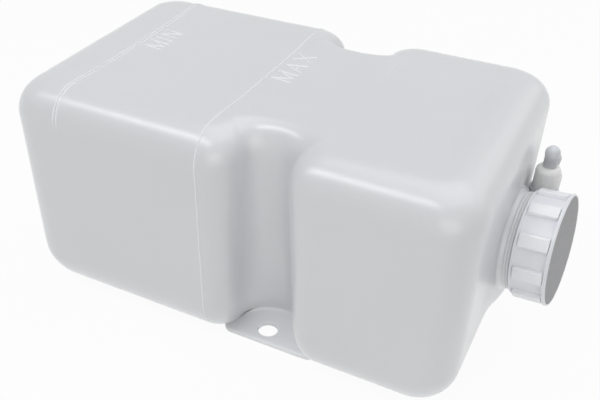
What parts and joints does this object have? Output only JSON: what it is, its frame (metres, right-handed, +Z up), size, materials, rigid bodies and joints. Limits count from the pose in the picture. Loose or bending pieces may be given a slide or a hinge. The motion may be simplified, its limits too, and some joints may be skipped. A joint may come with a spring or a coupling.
{
  "type": "plain water reservoir tank",
  "caption": "Blow-moulded water reservoir with a ribbed screw cap, level ridges, recessed bolt lugs and two capped hose ports.",
  "frame": {"origin": "middle of the tank's flat back face, on which it lies", "axes": "+X along the tank towards the filler neck, +Y across it towards the hose ports, +Z up from the face that it lies on"},
  "size_m": [0.3033, 0.1655, 0.1435],
  "materials": {
    "tank_plastic": "natural translucent, satin",
    "port_plastic": "natural translucent, satin",
    "cap_plastic": "white, semi-gloss",
    "dust_cap_plastic": "translucent white, gloss",
    "seal_rubber": "matt"
  },
  "bodies": {
    "tank": {"tank_body": "tank_plastic", "port_grommet_near": "seal_rubber", "port_elbow_near": "port_plastic", "hose_adaptor_near": "port_plastic", "port_grommet_far": "seal_rubber", "port_elbow_far": "port_plastic", "hose_adaptor_far": "port_plastic"},
    "cap_liner": {"cap_seal": "seal_rubber"},
    "cap": {"filler_cap": "cap_plastic"},
    "near_dust_cap": {"dust_cap_near": "dust_cap_plastic"},
    "far_dust_cap": {"dust_cap_far": "dust_cap_plastic"}
  },
  "joints": [
    {"name": "cap_lift", "type": "slide", "parent": "tank", "child": "cap_liner", "axis": [0.993, -0.0694, 0.0958], "range_m": [0, 0.015]},
    {"name": "cap_turn", "type": "hinge", "parent": "cap_liner", "child": "cap", "pos_m": [0.15982, 0.00556, 0.0742], "axis": [0.993, -0.0694, 0.0958], "range_deg": [0, 1080]},
    {"name": "near_cap_pull", "type": "slide", "parent": "tank", "child": "near_dust_cap", "axis": [0, 0, 1], "range_m": [0, 0.012]},
    {"name": "far_cap_pull", "type": "slide", "parent": "tank", "child": "far_dust_cap", "axis": [0, 0, 1], "range_m": [0, 0.012]}
  ],
  "couplings": [
    {"joint": "cap_lift", "follows": "cap_turn", "m_per_rad": 0.00079577}
  ]
}
